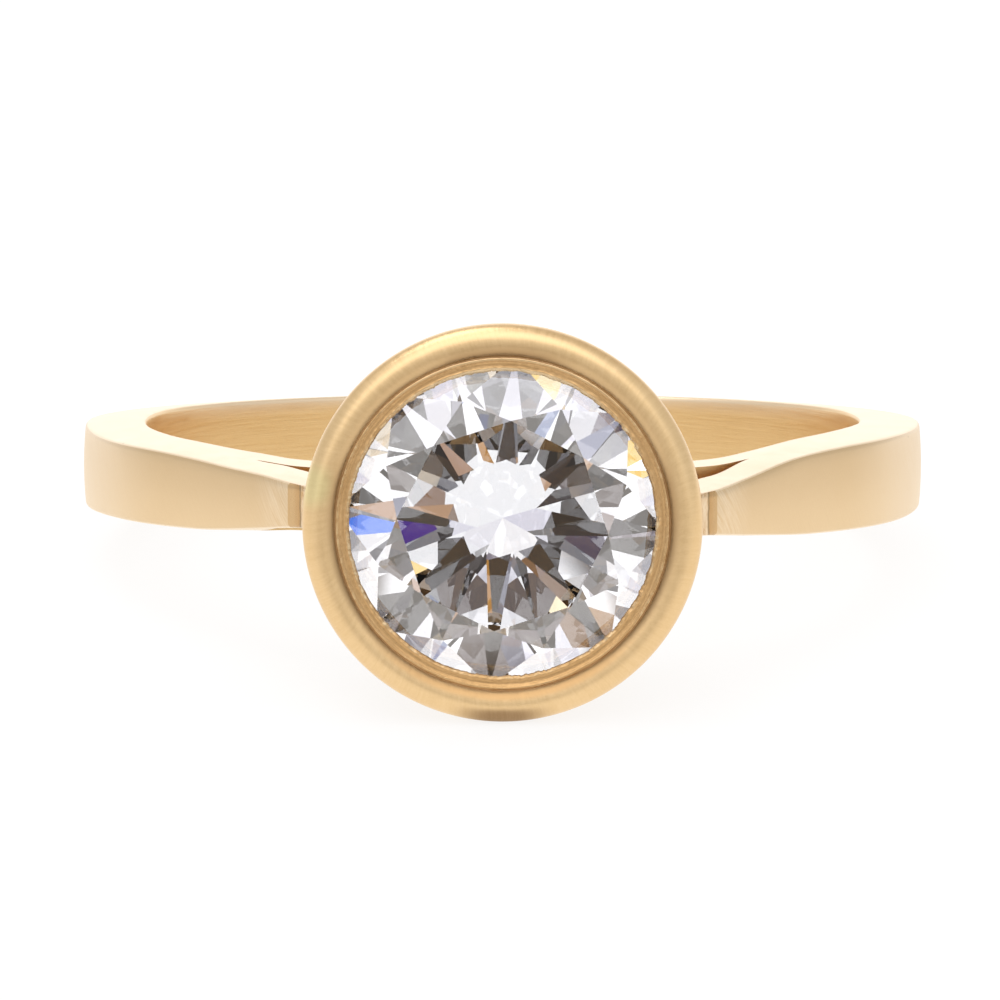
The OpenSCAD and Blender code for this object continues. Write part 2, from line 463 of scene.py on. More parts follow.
@dataclass
class BezelCup:
    """Round cup with a domed rim, a turned groove and a thin lip over the stone."""

    rim_mid_r: float = 3.97
    rim_r: float = 0.4
    rim_depth: float = 12.75
    wall_lean: float = 9.745
    foot_r: float = 3.6
    foot_depth: float = 8.25
    well_foot_r: float = 2.65
    ledge_r: float = 3.05
    ledge_depth: float = 11.9
    seat_r: float = 3.59
    seat_low: float = 12.37
    seat_top: float = 12.69
    opening_r: float = 3.34
    lip_low: float = 12.855
    groove_r: float = 3.7
    groove_low_r: float = 3.657
    saddle_r: float = 8.95
    turns: int = 720

    def section(self) -> list[Span]:
        """Half section of the cup, as pairs of radius and depth."""
        rim = (self.rim_mid_r, self.rim_depth)
        seat = [
            (self.well_foot_r, self.foot_depth),
            (self.ledge_r, self.ledge_depth),
            (self.seat_r, self.seat_low),
            (self.seat_r, self.seat_top),
            (self.opening_r + 0.012, self.lip_low - 0.008),
        ]
        edge = arc((self.opening_r + 0.05, self.lip_low + 0.065), 0.05, 190, 125, 4)
        bead = arc((self.opening_r + 0.08, self.lip_low + 0.085), 0.045, 125, 60, 5)
        hollow = [(3.47, 12.975), (3.505, 12.972), (3.545, 12.984)]
        crest = arc((self.groove_r - 0.09, 12.972), 0.05, 122, 35, 6)
        groove = [(self.groove_low_r, 12.999)]
        dome = arc(rim, self.rim_r, 140, -self.wall_lean, 28)
        wall_end = Vector(dome[-1])
        foot = Vector((self.foot_r, self.foot_depth))
        wall = [tuple(wall_end.lerp(foot, step / 8)) for step in range(1, 9)]
        return [*seat, *edge, *bead, *hollow, *crest, *groove, *dome, *wall]

    def build(self) -> Piece:
        """Spins the section into the cup and files its foot to fit the finger rail.

        Returns:
            The cup as one closed piece in the ring's own frame.
        """
        section = self.section()
        Bench.clear()
        bpy.ops.mesh.primitive_circle_add(vertices=len(section))
        cup = bpy.context.object
        cup.name = "bezel_cup"
        for vertex, (radius, depth) in zip(cup.data.vertices, section):
            vertex.co = (radius, -depth, 0)
        Bench.open(cup, Part.EDGES)
        bpy.ops.mesh.select_all(action="SELECT")
        bpy.ops.mesh.spin(steps=self.turns, angle=math.tau, center=(0, 0, 0), axis=(0, 1, 0))
        Bench.clear()
        Bench.face_outwards(cup, merge=1e-3)
        Bench.place_points(cup, self.burnished)
        Bench.work_in(cup, self.saddle(), Join.CUT)
        return cup

    def burnished(self, place: Vector) -> Vector:
        """Moves the thin lip in and out a little, as hand work leaves it."""
        radius = math.hypot(place.x, place.z)
        depth = -place.y
        near = 1 - ramp(radius, self.opening_r + 0.03, self.groove_r - 0.14)
        if depth < self.seat_top + 0.05 or near <= 0:
            return place
        on_rim = Vector((place.x, place.z, 0)) / radius
        sway = 0.012 * noise.noise(2.0 * on_rim)
        torn = eased(0.45 + 1.4 * noise.noise(3.1 * on_rim + Vector((5, 0, 0))))
        ragged = 0.026 * noise.noise(14.0 * on_rim) + 0.034 * torn * noise.noise(57.0 * on_rim)
        grow = (radius + near * (sway + ragged)) / radius
        lift = 0.02 * near * noise.noise(30.0 * on_rim + Vector((0, 0, 7)))
        return Vector((place.x * grow, place.y - lift, place.z * grow))

    def saddle(self) -> Piece:
        """Cylinder that hollows the foot of the cup where it sits on the rail."""
        Bench.clear()
        bpy.ops.mesh.primitive_cylinder_add(vertices=720, radius=self.saddle_r, depth=12)
        return bpy.context.object


class Graph:
    """Adds and joins the nodes of one tree. Values are numbers, tuples or sockets."""

    def __init__(self, tree: bpy.types.NodeTree) -> None:
        """Keeps the tree to work on."""
        self.tree = tree

    @classmethod
    def shared(cls, name: str, takes: dict[str, str], gives: dict[str, str]) -> "Graph":
        """Starts a shared node group.

        Args:
            name: Name of the group.
            takes: Its inputs and the kind of each, Vector or Float.
            gives: Its outputs and the kind of each.

        Returns:
            The graph of the new group.
        """
        tree = bpy.data.node_groups.new(name, "ShaderNodeTree")
        for way, sockets in (("INPUT", takes), ("OUTPUT", gives)):
            for label, kind in sockets.items():
                tree.interface.new_socket(label, in_out=way, socket_type="NodeSocket" + kind)
        return cls(tree)

    def fill(self, node: bpy.types.Node, values: dict) -> None:
        """Sets or links inputs of a node, by their names or numbers."""
        for name, value in values.items():
            if isinstance(value, bpy.types.NodeSocket):
                self.tree.links.new(value, node.inputs[name])
            else:
                node.inputs[name].default_value = value

    def add(self, kind: str, values: dict | None = None, **settings) -> bpy.types.Node:
        """Adds a node.

        Args:
            kind: Node type.
            values: Input names or numbers, and the value or the socket that each takes.
            **settings: Properties of the node.

        Returns:
            The new node.
        """
        node = self.tree.nodes.new(kind)
        for name, value in settings.items():
            setattr(node, name, value)
        self.fill(node, values or {})
        return node

    def group(self, tree: bpy.types.NodeTree, values: dict | None = None) -> Sockets:
        """Places a shared node group and gives back its outputs."""
        return self.add("ShaderNodeGroup", values, node_tree=tree).outputs

    def maths(self, operation: str, first, second=0.0) -> Socket:
        """Result of a Math node."""
        return self.add("ShaderNodeMath", {0: first, 1: second}, operation=operation).outputs[0]

    def times(self, *factors) -> Socket:
        """Product of two or more values."""
        return reduce(partial(self.maths, "MULTIPLY"), factors)

    def plus(self, *terms) -> Socket:
        """Sum of two or more values."""
        return reduce(partial(self.maths, "ADD"), terms)

    def minus(self, first, second) -> Socket:
        """Difference of two values."""
        return self.maths("SUBTRACT", first, second)

    def rest(self, share) -> Socket:
        """What a share leaves of one."""
        return self.minus(1.0, share)

    def size(self, value) -> Socket:
        """A value without its sign."""
        return self.maths("ABSOLUTE", value)

    def vector(self, operation: str, first, second) -> Socket:
        """Result of a Vector Math node, which is a number for a distance or a dot product."""
        node = self.add("ShaderNodeVectorMath", {0: first, 1: second}, operation=operation)
        return node.outputs["Value" if operation in ("DISTANCE", "DOT_PRODUCT") else "Vector"]

    def parts(self, place) -> Sockets:
        """The three coordinates of a place."""
        return self.add("ShaderNodeSeparateXYZ", {0: place}).outputs

    def combined(self, x=0.0, y=0.0, z=0.0) -> Socket:
        """Place with these coordinates."""
        return self.add("ShaderNodeCombineXYZ", {0: x, 1: y, 2: z}).outputs[0]

    def reach(self, first, second) -> Socket:
        """Distance from the axis that two coordinates are measured from."""
        squares = [self.maths("POWER", self.size(value), 2.0) for value in (first, second)]
        return self.maths("SQRT", self.plus(*squares))

    def noise(self, place, scale: float, detail: float, roughness: float = 0.5) -> Socket:
        """Noise in lumps, of which scale tells how many fit in one unit."""
        values = {"Vector": place, "Scale": scale, "Detail": detail, "Roughness": roughness}
        return self.add("ShaderNodeTexNoise", values).outputs[0]

    def fade(self, value, low: float, high: float) -> Socket:
        """Smooth step of a value from 0 at low to 1 at high."""
        inputs = {"Value": value, "From Min": low, "From Max": high}
        return self.add("ShaderNodeMapRange", inputs, interpolation_type="SMOOTHSTEP").outputs[0]

    def before(self, value, low: float, high: float) -> Socket:
        """Smooth step of a value from 1 at low to 0 at high."""
        return self.rest(self.fade(value, low, high))

    def between(self, value, rise: Span, fall: Span) -> Socket:
        """Mask that is 1 between the end of a rise and the start of a fall."""
        return self.minus(self.fade(value, *rise), self.fade(value, *fall))

    def blend(self, share, *tones) -> Socket:
        """Mix of two colours."""
        first, second = (tone if isinstance(tone, Socket) else (*tone, 1) for tone in tones)
        inputs = {0: share, 6: first, 7: second}
        return self.add("ShaderNodeMix", inputs, data_type="RGBA").outputs[2]

    def coat(self, colour, *coats: tuple) -> Socket:
        """Colour under some coats, each of them a mask and a colour."""
        for share, tone in coats:
            colour = self.blend(share, colour, tone)
        return colour


def new_material(name: str) -> tuple[bpy.types.Material, Graph, bpy.types.Node]:
    """Makes a material, and gives back its graph and its shader with it."""
    material = bpy.data.materials.new(name)
    material.use_nodes = True
    return material, Graph(material.node_tree), material.node_tree.nodes["Principled BSDF"]


class Lay(Enum):
    """Coordinates that a brushing follows."""

    FLAT = "Flat"
    HOOP = "Hoop"
    CUP = "Cup"


@dataclass(frozen=True)
class Brushing:
    """One set of hairlines: how they lie, in lines per millimetre, and how deep they are."""

    lay: Lay
    turn: float
    along: float
    across: float
    depth: float


@dataclass(frozen=True)
class GoldFinish:
    """One finish of the gold."""

    name: str
    roughness: float
    brushing: Brushing
    contrast: float
    pits: float
    waves: float
    colour: Tone = (0.82, 0.60, 0.34)
    shade: Tone = (0.70, 0.49, 0.25)


class GoldWork:
    """Gold materials, one for each zone of the soldered piece.

    Names that end in x, y, z or r hold the coordinates or radii, in millimetres in the ring's own
    frame, between which a change of colour fades in.
    """

    pale = (0.785, 0.605, 0.38)
    pale_shade = (0.70, 0.515, 0.305)
    warm = (0.79, 0.57, 0.295)
    warm_shade = (0.70, 0.475, 0.215)
    rich = (0.68, 0.445, 0.22)
    rich_shade = (0.50, 0.305, 0.135)
    # pale tone of the flat sides, painted paler for the light from above that falls on them
    chalky_and_lit = (0.89, 0.75, 0.56)
    # pale streaky tone left by scrubbing near the solder, also laid on the far ends of the faces
    # as a painted sheen
    scrubbed_and_sheen = (0.85, 0.705, 0.52)
    # painted highlight on the upper edge of the bore at the back
    bore_top_highlight = (0.97, 0.86, 0.76)
    # painted shade laid on the upper part of the outer faces
    above = (0.62, 0.45, 0.26)
    # painted shade: the brown laid in the valley between the rim and the groove
    valley_shade = (0.42, 0.27, 0.135)
    stain = (0.74, 0.68, 0.36)
    # painted highlight on the rubbed edge and crest of the lip
    rubbed_edge_highlight = (0.86, 0.69, 0.45)
    # painted shade in the groove between the lip and the rim
    groove_shade = (0.57, 0.41, 0.24)
    seam_dark = (0.34, 0.23, 0.12)
    solder_light = (0.63, 0.445, 0.245)
    pit_dark = (0.3, 0.2, 0.1)
    # painted shade: dark tone of the cup's inner wall, under the stone
    shaded_well = (0.52, 0.37, 0.21)
    well_shade = (0.38, 0.26, 0.13)
    face_front_y = (-6.0, -2.0)
    # heights over which the painted shade of the outer faces fades in
    face_above_z = (-0.9, 1.0)
    scrubbed_x = (4.95, 5.6)
    far_x = (7.6, 9.6)
    bore_top_z = (0.4, 1.05)
    bore_back_y = (1.0, 7.0)
    # painted shade of the valley: the radii it fades out over, and its lean to the right and to
    # the top
    valley_shade_r = (3.66, 3.97)
    valley_shade_lean = 0.004
    valley_shade_rise = 0.014
    stain_place = (-4.15, 0.0, 0.85)
    stain_r = (0.2, 0.65)
    # painted shade on the lower crest of the rim: its heights and radii
    dome_low_z = (-3.4, -2.2)
    dome_crest_r = ((3.66, 3.76), (3.80, 3.93))
    lip_edge_r = (3.39, 3.44)
    lip_crest_r = ((3.575, 3.605), (3.625, 3.645))
    # heights over which the lip's painted highlight rises at the top and its painted shade falls
    # at the bottom
    lip_lit_z = (2.0, 3.2)
    lip_shaded_z = (-3.3, -1.8)
    groove_r = (3.635, 3.655)
    seam_x = 4.51
    seam_lean = 0.01
    seam_half_w = (0.004, 0.03)
    pit_r = (0.035, 0.06)
    line_depth = 0.000012
    hoop_r = 9.6
    cup_r = 4.0

    def __init__(self, resting: Resting) -> None:
        """Builds the shared node groups and lists the finishes."""
        self.place = self.place_group(resting)
        self.hairlines = self.hairline_group()
        self.wear = self.wear_group()
        pale, rich = (self.pale, self.pale_shade), (self.rich, self.rich_shade)
        warm, shaded_well = (self.warm, self.warm_shade), (self.shaded_well, self.well_shade)
        slant = Brushing(Lay.HOOP, 60.0, 1.3, 26.0, 0.2)
        side = Brushing(Lay.HOOP, 8.0, 1.5, 14.0, 0.12)
        bore = Brushing(Lay.HOOP, 0.0, 0.5, 12.0, 0.15)
        dome = Brushing(Lay.CUP, 74.0, 1.6, 13.0, 0.2)
        turned = Brushing(Lay.CUP, 0.0, 0.7, 22.0, 0.3)
        wall = Brushing(Lay.CUP, 5.0, 0.8, 12.0, 0.15)
        upright = Brushing(Lay.FLAT, 90.0, 2.0, 14.0, 0.35)
        self.finishes = {
            Zone.FACE: GoldFinish("gold_face", 0.36, slant, 0.55, 1.0, 1.5, *pale),
            # the flat sides take painted light, paler than the faces
            Zone.SIDE: GoldFinish("gold_side", 0.36, side, 0.35, 0.6, 1.0, self.chalky_and_lit, self.pale),
            Zone.BORE: GoldFinish("gold_bore", 0.33, bore, 0.45, 0.0, 0.0, *warm),
            Zone.DOME: GoldFinish("gold_dome", 0.33, dome, 0.7, 0.4, 3.0),
            Zone.LIP: GoldFinish("gold_lip", 0.2, turned, 0.8, 0.5, 2.0, *rich),
            Zone.CUP: GoldFinish("gold_cup", 0.35, wall, 0.45, 0.4, 1.0),
            Zone.SOLDER: GoldFinish("gold_solder", 0.3, upright, 0.9, 0.8, 1.0, *rich),
            # the cup's inner wall takes painted shade
            Zone.WELL: GoldFinish("gold_well", 0.38, wall, 0.45, 0.0, 0.0, *shaded_well),
        }
        self.tints = {
            Zone.FACE: self.face_tint,
            Zone.BORE: self.bore_tint,
            Zone.DOME: self.dome_tint,
            Zone.LIP: self.lip_tint,
            Zone.SOLDER: self.solder_tint,
        }

    def place_group(self, resting: Resting) -> bpy.types.NodeTree:
        """Coordinates in the ring's own frame: flat, round the hoop and round the cup."""
        graph = Graph.shared("ring_place", {}, {lay.value: "Vector" for lay in Lay})
        place = graph.add("ShaderNodeTexCoord").outputs["Object"]
        turning = {
            "Vector": graph.vector("SUBTRACT", place, resting.hole["pos_m"]),
            "Angle": resting.tip(),
        }
        turned = graph.add("ShaderNodeVectorRotate", turning, rotation_type="X_AXIS").outputs[0]
        scaling = {0: turned, 3: 1 / MM}
        flat = graph.add("ShaderNodeVectorMath", scaling, operation="SCALE").outputs[0]
        x, y, z = graph.parts(flat)
        front = graph.times(y, -1.0)
        hoop_turn = graph.times(graph.maths("ARCTAN2", x, front), self.hoop_r)
        cup_turn = graph.times(graph.maths("ARCTAN2", x, z), self.cup_r)
        hoop = graph.combined(hoop_turn, z, graph.reach(x, y))
        cup = graph.combined(cup_turn, graph.plus(graph.reach(x, z), front), y)
        graph.add("NodeGroupOutput", {"Flat": flat, "Hoop": hoop, "Cup": cup})
        return graph.tree

    def hairline_group(self) -> bpy.types.NodeTree:
        """Fine lines left by brushing, with soft and broad changes and with grain."""
        takes = {"Place": "Vector", "Turn": "Float", "Along": "Float", "Across": "Float"}
        gives = dict.fromkeys(("Lines", "Cloud", "Grain"), "Float")
        graph = Graph.shared("hairlines", takes, gives)
        given = graph.add("NodeGroupInput").outputs
        place, along = given["Place"], given["Along"]
        turning = {"Vector": place, "Angle": given["Turn"]}
        turned = graph.add("ShaderNodeVectorRotate", turning, rotation_type="Z_AXIS").outputs[0]
        drawn = graph.vector("MULTIPLY", turned, graph.combined(along, given["Across"], along))
        results = {
            "Lines": graph.noise(drawn, 1.0, 4.0, 0.7),
            "Cloud": graph.noise(place, 0.9, 3.0),
            "Grain": graph.noise(place, 24.0, 1.0),
        }
        graph.add("NodeGroupOutput", results)
        return graph.tree

    def wear_group(self) -> bpy.types.NodeTree:
        """Tiny pits and knocks, sparse over the metal."""
        graph = Graph.shared("wear", {"Place": "Vector", "Amount": "Float"}, {"Pits": "Float"})
        given = graph.add("NodeGroupInput").outputs
        cells = graph.add("ShaderNodeTexVoronoi", {"Vector": given["Place"], "Scale": 1.6}).outputs
        speck = graph.before(cells["Distance"], *self.pit_r)
        chance = graph.add("ShaderNodeSeparateColor", {0: cells["Color"]}).outputs[0]
        chosen = graph.maths("GREATER_THAN", chance, 0.72)
        graph.add("NodeGroupOutput", {"Pits": graph.times(speck, chosen, given["Amount"])})
        return graph.tree

    def face_tint(self, graph: Graph, flat: Sockets, lines, colour) -> Socket:
        """Outer faces: scrubbing marks by the solder, a painted sheen that makes the far ends
        paler, and painted shade that makes them a little darker above.
        """
        off = graph.size(flat["X"])
        front = graph.before(flat["Y"], *self.face_front_y)
        near = graph.times(front, graph.before(off, *self.scrubbed_x))
        streaks = graph.blend(lines, self.pale_shade, self.scrubbed_and_sheen)
        # painted shade: the outer faces are darker toward their upper edge
        high = graph.times(graph.fade(flat["Z"], *self.face_above_z), 0.75)
        near = graph.times(near, 0.75)
        # painted sheen: the far ends of the faces are made paler
        far = graph.times(graph.fade(off, *self.far_x), 0.6)
        return graph.coat(colour, (high, self.above), (near, streaks), (far, self.scrubbed_and_sheen))

    def bore_tint(self, graph: Graph, flat: Sockets, lines, colour) -> Socket:
        """Bore: a painted highlight, paler toward its upper edge at the back."""
        high = graph.fade(flat["Z"], *self.bore_top_z)
        back = graph.fade(flat["Y"], *self.bore_back_y)
        return graph.blend(graph.times(high, back, 0.7), colour, self.bore_top_highlight)

    def dome_tint(self, graph: Graph, flat: Sockets, lines, colour) -> Socket:
        """Rim: painted shade in the valley by the groove and on the lower crest, and one greenish
        stain.
        """
        x, z = flat["X"], flat["Z"]
        away = graph.vector("DISTANCE", graph.combined(x=x, z=z), self.stain_place)
        stained = graph.times(graph.before(away, *self.stain_r), 0.55)
        radius = graph.reach(x, z)
        leant = graph.minus(radius, graph.times(x, self.valley_shade_lean))
        leant = graph.minus(leant, graph.times(z, self.valley_shade_rise))
        # painted shade in the valley, wider on the right and at the top, weaker at the upper
        # corners
        corner = graph.size(graph.times(x, graph.maths("MAXIMUM", z, 0.0)))
        strong = graph.rest(graph.times(graph.fade(corner, 3.0, 6.0), 0.5))
        valley = graph.times(graph.before(leant, *self.valley_shade_r), strong)
        # painted shade on the lower crest of the rim
        low = graph.before(z, *self.dome_low_z)
        shaded = graph.times(low, graph.between(radius, *self.dome_crest_r), 0.75)
        coats = (stained, self.stain), (valley, self.valley_shade), (shaded, self.rich_shade)
        return graph.coat(colour, *coats)

    def lip_tint(self, graph: Graph, flat: Sockets, lines, colour) -> Socket:
        """Lip: a painted highlight on its edge and crest, following the wear and running all along
        the top, and painted shade on the lower lip and in the groove.
        """
        x, z = flat["X"], flat["Z"]
        radius = graph.reach(x, z)
        around = graph.combined(x=x, z=z)
        broken = graph.fade(graph.noise(around, 1.7, 3.0), 0.36, 0.62)
        spots = graph.fade(graph.noise(around, 9.0, 2.0), 0.42, 0.6)
        worn_and_lit = graph.plus(graph.times(spots, 0.6), graph.times(lines, 0.4))
        # painted highlight: all along the top of the lip, the edge and crest are lit whatever the
        # wear
        high = graph.times(graph.fade(z, *self.lip_lit_z), 0.8)
        worn_and_lit = graph.maths("MAXIMUM", graph.times(worn_and_lit, broken), high)
        crest = graph.times(graph.between(radius, *self.lip_crest_r), 0.5)
        edge = graph.before(radius, *self.lip_edge_r)
        coats = (
            (graph.times(graph.rest(spots), 0.3), self.rich_shade),
            # painted highlight on the edge and crest
            (graph.times(graph.plus(edge, crest), worn_and_lit), self.rubbed_edge_highlight),
            # painted shade on the lower lip
            (graph.times(graph.before(z, *self.lip_shaded_z), 0.6), self.rich_shade),
            # painted shade in the groove
            (graph.fade(radius, *self.groove_r), self.groove_shade),
        )
        return graph.coat(colour, *coats)

    def solder_tint(self, graph: Graph, flat: Sockets, lines, colour) -> Socket:
        """Solder: a dark wavy seam, with streaky pale metal on the side of the cup."""
        wave = graph.noise(graph.combined(z=flat["Z"]), 2.2, 2.0)
        sway = graph.times(graph.minus(wave, 0.5), 0.08)
        seam = graph.plus(self.seam_x, graph.times(flat["X"], self.seam_lean))
        off = graph.minus(graph.plus(graph.size(flat["X"]), sway), seam)
        streaks = graph.blend(lines, colour, self.scrubbed_and_sheen)
        deep = graph.blend(graph.fade(off, 0.0, 0.2), self.rich_shade, self.solder_light)
        band = graph.blend(graph.plus(graph.times(lines, 0.3), 0.2), deep, colour)
        colour = graph.blend(graph.fade(off, -0.03, 0.0), streaks, band)
        clear = graph.fade(graph.size(off), *self.seam_half_w)
        return graph.blend(clear, self.seam_dark, colour)

    def material(self, zone: Zone) -> bpy.types.Material:
        """Material of one zone."""
        finish = self.finishes[zone]
        brushing = finish.brushing
        material, graph, shader = new_material(finish.name)
        places = graph.group(self.place)
        place = places[brushing.lay.value]
        drawing = {
            "Place": place,
            "Turn": math.radians(brushing.turn),
            "Along": brushing.along,
            "Across": brushing.across,
        }
        drawn = graph.group(self.hairlines, drawing)
        lines, cloud, grain = (graph.fade(drawn[name], 0.3, 0.7) for name in drawn.keys())
        pits = graph.group(self.wear, {"Place": place, "Amount": finish.pits})["Pits"]
        shares = graph.times(lines, 0.55), graph.times(cloud, 0.25), graph.times(grain, 0.2)
        light = graph.rest(graph.times(graph.rest(graph.plus(*shares)), finish.contrast))
        colour = graph.blend(light, finish.shade, finish.colour)
        if zone in self.tints:
            colour = self.tints[zone](graph, graph.parts(places["Flat"]), lines, colour)
        height = graph.minus(lines, graph.times(pits, 2.5))
        height = graph.plus(height, graph.times(cloud, finish.waves))
        bumps = {"Strength": brushing.depth, "Distance": self.line_depth, "Height": height}
        looks = {
            "Base Color": graph.blend(graph.times(pits, 0.7), colour, self.pit_dark),
            "Metallic": 1.0,
            "Roughness": graph.plus(finish.roughness - 0.04, graph.times(lines, 0.08)),
            "Normal": graph.add("ShaderNodeBump", bumps).outputs[0],
        }
        graph.fill(shader, looks)
        return material

    def dress(self, piece: Piece, zone_of: Callable[[Vector, Vector], Zone]) -> None:
        """Gives each face of a piece the finish of its zone."""
        piece.data.materials.clear()
        for zone in Zone:
            piece.data.materials.append(self.material(zone))
        for face in piece.data.polygons:
            face.material_index = zone_of(Vector(face.center), Vector(face.normal)).value


@dataclass
class SolderedGold:
    """The band and the cup soldered into one piece."""

    band: Band
    cup: BezelCup
    resting: Resting
    smooth_angle: float = 32.0

    def build(self) -> Piece:
        """Joins the band and the cup and lays them down.

        Returns:
            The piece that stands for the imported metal.
        """
        piece = self.band.build()
        Bench.work_in(piece, self.cup.build(), Join.ADD)
        piece.name = "soldered_gold"
        piece.data.name = "soldered_gold"
        Bench.face_outwards(piece)
        GoldWork(self.resting).dress(piece, self.zone)
        self.resting.lay_down(piece)
        Bench.hold(piece)
        bpy.ops.object.shade_smooth_by_angle(angle=math.radians(self.smooth_angle))
        return piece

    def zone(self, centre: Vector, normal: Vector) -> Zone:
        """Zone of a face, by its place and the way that it faces."""
        cup, band = self.cup, self.band
        depth = -centre.y
        radius = math.hypot(centre.x, centre.z)
        plan = centre.xy.length
        inwards = normal.x * centre.x + normal.z * centre.z < 0
        past_rail = plan > cup.saddle_r - 0.02
        if inwards and past_rail and radius < cup.seat_r + 0.01 and depth < cup.lip_low - 0.01:
            return Zone.WELL
        if depth > cup.seat_top and radius < cup.groove_low_r + 0.005:
            return Zone.LIP
        if depth > band.solder_depth - 0.2:
            return Zone.DOME
        if abs(normal.z) > 0.8 and plan < band.band_r + 1.5 and abs(centre.z) < 1.1:
            return Zone.SIDE
        if plan < band.bore_r + 0.02 and abs(normal.z) < 0.8:
            return Zone.BORE
        lean = cup.foot_r + (depth - cup.foot_depth) * math.tan(math.radians(cup.wall_lean))
        if depth > 7.5 and radius < lean + 0.012 and past_rail:
            return Zone.CUP
        if depth > band.junction_depth and abs(centre.x) > 4.0 and abs(centre.z) < 0.7:
            return Zone.SOLDER
        faces_in = normal.xy.dot(centre.xy) < 0 or plan < band.rail_r + 0.02
        if faces_in and abs(normal.z) < 0.8:
            return Zone.BORE
        return Zone.FACE


class Stone:
    """The diamond: its packed facets with a clear, bright finish."""

    index = 2.42

    def dress(self, node: Piece) -> None:
        """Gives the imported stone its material."""
        material, graph, shader = new_material("diamond_clear")
        clear = {"Base Color": (1, 1, 1, 1), "Roughness": 0.0, "IOR": self.index}
        graph.fill(shader, {**clear, "Transmission Weight": 1.0})
        node.data.materials.clear()
        node.data.materials.append(material)


@dataclass(frozen=True)
class Card:
    """A round patch of the surroundings that is lighter or darker than the rest."""

    azimuth: float
    elevation: float
    radius: float
    soft: float
    colour: Tone

    def way(self) -> Vector:
        """Direction of the patch's middle; azimuth 0 is the front and 90 the right."""
        azimuth, elevation = math.radians(self.azimuth), math.radians(self.elevation)
        level = math.cos(elevation)
        front = math.cos(azimuth) * level
        return Vector((math.sin(azimuth) * level, -front, math.sin(elevation)))


